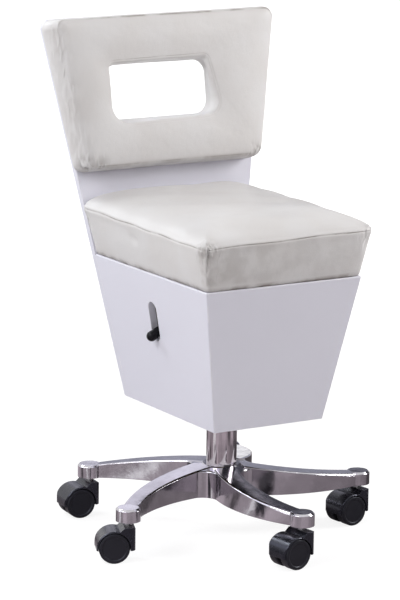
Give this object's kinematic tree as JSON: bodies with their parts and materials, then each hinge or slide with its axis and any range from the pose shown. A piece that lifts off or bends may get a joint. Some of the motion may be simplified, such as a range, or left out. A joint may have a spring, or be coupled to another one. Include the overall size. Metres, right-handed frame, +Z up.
{
  "type": "pedicure chair",
  "caption": "wheeled pedicure technician's chair: upholstered seat on a tapered box, leaning back with a hand-hole, gas lift and star base",
  "frame": {"origin": "on the floor, under the swivel axis of the gas lift", "axes": "+X to the sitter's left, opposite the height lever; +Y to the back rest, so the sitter faces -Y; +Z up along the swivel axis"},
  "size_m": [0.5215, 0.5068, 0.8327],
  "materials": {
    "cast_aluminium": "polished",
    "chrome_tube": "polished",
    "bright_steel": "satin",
    "black_steel": "satin",
    "valve_brass": "satin",
    "black_nylon": "matte",
    "black_grip": "gloss",
    "caster_black": "satin",
    "wheel_black": "satin",
    "white_lacquer": "satin",
    "plywood": "matte",
    "cream_vinyl": "satin"
  },
  "bodies": {
    "base": {"star_base": "cast_aluminium", "stand_tube": "chrome_tube", "guide_bush": "black_nylon", "thrust_race_lower": "bright_steel", "thrust_balls": "bright_steel"},
    "rod": {"thrust_race_upper": "bright_steel", "piston_rod": "bright_steel", "piston": "bright_steel", "rod_clip": "bright_steel"},
    "seat": {"gas_cylinder": "black_steel", "cylinder_seal": "black_nylon", "valve_body": "valve_brass", "taper_socket": "black_steel", "lever_bracket": "black_steel", "pivot_pin": "bright_steel", "seat_plate": "black_steel", "plate_bolts": "bright_steel", "plate_nuts": "bright_steel", "seat_shelf": "plywood", "shelf_cleats": "plywood", "corner_blocks": "plywood", "left_panel": "white_lacquer", "right_panel": "white_lacquer", "front_panel": "white_lacquer", "back_board": "white_lacquer", "seat_cushion_board": "plywood", "seat_screws": "bright_steel", "seat_cushion": "cream_vinyl", "back_cushion_board": "plywood", "back_bolts": "bright_steel", "back_cushion": "cream_vinyl"},
    "lever": {"lever_rod": "bright_steel", "lever_grip": "black_grip"},
    "valve": {"valve_pin": "bright_steel"},
    "front_caster": {"front_caster_hood": "caster_black", "front_caster_stem": "bright_steel", "front_caster_axle": "bright_steel"},
    "front_caster_wheel_1": {"front_caster_wheel_1": "wheel_black"},
    "front_caster_wheel_2": {"front_caster_wheel_2": "wheel_black"},
    "right_caster": {"right_caster_hood": "caster_black", "right_caster_stem": "bright_steel", "right_caster_axle": "bright_steel"},
    "right_caster_wheel_1": {"right_caster_wheel_1": "wheel_black"},
    "right_caster_wheel_2": {"right_caster_wheel_2": "wheel_black"},
    "rear_right_caster": {"rear_right_caster_hood": "caster_black", "rear_right_caster_stem": "bright_steel", "rear_right_caster_axle": "bright_steel"},
    "rear_right_caster_wheel_1": {"rear_right_caster_wheel_1": "wheel_black"},
    "rear_right_caster_wheel_2": {"rear_right_caster_wheel_2": "wheel_black"},
    "rear_left_caster": {"rear_left_caster_hood": "caster_black", "rear_left_caster_stem": "bright_steel", "rear_left_caster_axle": "bright_steel"},
    "rear_left_caster_wheel_1": {"rear_left_caster_wheel_1": "wheel_black"},
    "rear_left_caster_wheel_2": {"rear_left_caster_wheel_2": "wheel_black"},
    "left_caster": {"left_caster_hood": "caster_black", "left_caster_stem": "bright_steel", "left_caster_axle": "bright_steel"},
    "left_caster_wheel_1": {"left_caster_wheel_1": "wheel_black"},
    "left_caster_wheel_2": {"left_caster_wheel_2": "wheel_black"}
  },
  "joints": [
    {"name": "seat_swivel", "type": "hinge", "parent": "base", "child": "rod", "pos_m": [0, 0, 0.0741], "axis": [0, 0, 1], "continuous": true},
    {"name": "seat_lift", "type": "slide", "parent": "rod", "child": "seat", "axis": [0, 0, 1], "range_m": [-0.08, 0.02]},
    {"name": "lever_lift", "type": "hinge", "parent": "seat", "child": "lever", "pos_m": [-0.0191, 0, 0.404], "axis": [0, 1, 0], "range_deg": [0, 12], "stiffness_Nm_per_rad": 0.5, "springref_deg": -5.73},
    {"name": "valve_press", "type": "slide", "parent": "seat", "child": "valve", "axis": [0, 0, -1], "range_m": [0, 0.0041], "stiffness_N_per_m": 500, "springref_m": -0.002},
    {"name": "front_caster_swivel", "type": "hinge", "parent": "base", "child": "front_caster", "pos_m": [0.0082, -0.23486, 0.065], "axis": [0, 0, 1], "continuous": true},
    {"name": "front_caster_spin_1", "type": "hinge", "parent": "front_caster", "child": "front_caster_wheel_1", "pos_m": [-0.01562, -0.23778, 0.025], "axis": [0.1219, -0.9925, 0], "continuous": true},
    {"name": "front_caster_spin_2", "type": "hinge", "parent": "front_caster", "child": "front_caster_wheel_2", "pos_m": [-0.01562, -0.23778, 0.025], "axis": [0.1219, -0.9925, 0], "continuous": true},
    {"name": "right_caster_swivel", "type": "hinge", "parent": "base", "child": "right_caster", "pos_m": [0.2259, -0.06477, 0.065], "axis": [0, 0, 1], "continuous": true},
    {"name": "right_caster_spin_1", "type": "hinge", "parent": "right_caster", "child": "right_caster_wheel_1", "pos_m": [0.20203, -0.06728, 0.025], "axis": [0.1045, -0.9945, 0], "continuous": true},
    {"name": "right_caster_spin_2", "type": "hinge", "parent": "right_caster", "child": "right_caster_wheel_2", "pos_m": [0.20203, -0.06728, 0.025], "axis": [0.1045, -0.9945, 0], "continuous": true},
    {"name": "rear_right_caster_swivel", "type": "hinge", "parent": "base", "child": "rear_right_caster", "pos_m": [0.13141, 0.19482, 0.065], "axis": [0, 0, 1], "continuous": true},
    {"name": "rear_right_caster_spin_1", "type": "hinge", "parent": "rear_right_caster", "child": "rear_right_caster_wheel_1", "pos_m": [0.10741, 0.19482, 0.025], "axis": [0, -1, 0], "continuous": true},
    {"name": "rear_right_caster_spin_2", "type": "hinge", "parent": "rear_right_caster", "child": "rear_right_caster_wheel_2", "pos_m": [0.10741, 0.19482, 0.025], "axis": [0, -1, 0], "continuous": true},
    {"name": "rear_left_caster_swivel", "type": "hinge", "parent": "base", "child": "rear_left_caster", "pos_m": [-0.14468, 0.18518, 0.065], "axis": [0, 0, 1], "continuous": true},
    {"name": "rear_left_caster_spin_1", "type": "hinge", "parent": "rear_left_caster", "child": "rear_left_caster_wheel_1", "pos_m": [-0.16855, 0.18769, 0.025], "axis": [-0.1045, -0.9945, 0], "continuous": true},
    {"name": "rear_left_caster_spin_2", "type": "hinge", "parent": "rear_left_caster", "child": "rear_left_caster_wheel_2", "pos_m": [-0.16855, 0.18769, 0.025], "axis": [-0.1045, -0.9945, 0], "continuous": true},
    {"name": "left_caster_swivel", "type": "hinge", "parent": "base", "child": "left_caster", "pos_m": [-0.22083, -0.08037, 0.065], "axis": [0, 0, 1], "continuous": true},
    {"name": "left_caster_spin_1", "type": "hinge", "parent": "left_caster", "child": "left_caster_wheel_1", "pos_m": [-0.24292, -0.071, 0.025], "axis": [-0.3907, -0.9205, 0], "continuous": true},
    {"name": "left_caster_spin_2", "type": "hinge", "parent": "left_caster", "child": "left_caster_wheel_2", "pos_m": [-0.24292, -0.071, 0.025], "axis": [-0.3907, -0.9205, 0], "continuous": true}
  ],
  "couplings": [
    {"joint": "valve_press", "follows": "lever_lift", "m_per_rad": 0.019099}
  ]
}
